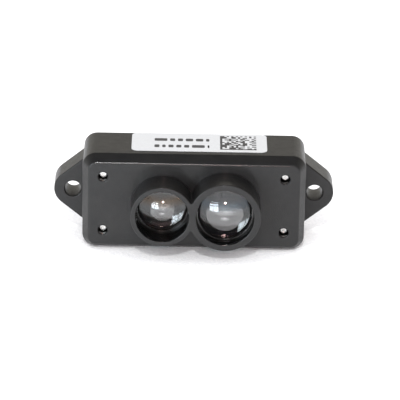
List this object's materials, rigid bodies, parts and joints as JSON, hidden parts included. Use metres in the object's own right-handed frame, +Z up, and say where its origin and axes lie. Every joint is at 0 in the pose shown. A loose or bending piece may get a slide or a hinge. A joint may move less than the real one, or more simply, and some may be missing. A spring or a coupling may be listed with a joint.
{
  "type": "lidar ranging module",
  "caption": "Small black solid-state distance sensor with twin lens barrels, a bevelled box housing, side mounting ears and a rear cable connector.",
  "frame": {"origin": "centre of the flat rear face, midway between the two ear holes", "axes": "+X along the module's length to the right when it is seen from the front, +Y out of the rear face (the module looks along -Y), +Z up, out of the face with the label"},
  "size_m": [0.042, 0.016, 0.0151],
  "materials": {
    "shell": "fine moulded texture, satin black",
    "lens_ring": "smooth black",
    "lens_glass": "polished, clear",
    "filter_glass": "infrared band-pass coating",
    "screw_steel": "bright zinc plated",
    "label_film": "white printed film",
    "circuit_board": "green solder mask",
    "black_board": "matte black solder mask",
    "chip_plastic": "black moulding compound",
    "led_ceramic": "dark grey ceramic",
    "part_metal": "plated can",
    "gold_contact": "gold plated",
    "connector_plastic": "natural nylon",
    "seal_foam": "soft black foam",
    "pad_silicone": "soft grey-blue pad",
    "capacitor_ceramic": "tan ceramic"
  },
  "bodies": {
    "root": {"front_housing": "shell", "rear_cover": "shell", "cover_screw_1": "screw_steel", "cover_screw_2": "screw_steel", "cover_screw_3": "screw_steel", "cover_screw_4": "screw_steel", "emitter_lens": "lens_glass", "receiver_lens": "lens_glass", "emitter_lens_ring": "lens_ring", "receiver_lens_ring": "lens_ring", "receiver_filter": "filter_glass", "emitter_seal": "seal_foam", "receiver_seal": "seal_foam", "emitter_base": "led_ceramic", "emitter_die": "gold_contact", "emitter_dome": "lens_glass", "sensor_package": "chip_plastic", "sensor_window": "filter_glass", "optics_board": "black_board", "controller_board": "circuit_board", "led_driver": "chip_plastic", "storage_capacitor_1": "capacitor_ceramic", "storage_capacitor_2": "capacitor_ceramic", "gap_pad": "pad_silicone", "board_plug": "connector_plastic", "board_socket": "connector_plastic", "microcontroller": "chip_plastic", "flash_memory": "chip_plastic", "crystal": "part_metal", "voltage_regulator": "chip_plastic", "power_inductor": "chip_plastic", "protection_diode": "chip_plastic", "ferrite_bead": "chip_plastic", "filter_capacitor_1": "capacitor_ceramic", "filter_capacitor_2": "capacitor_ceramic", "filter_capacitor_3": "capacitor_ceramic", "connector_housing": "connector_plastic", "connector_pin_1": "gold_contact", "connector_pin_2": "gold_contact", "connector_pin_3": "gold_contact", "connector_pin_4": "gold_contact", "label": "label_film"}
  },
  "joints": []
}
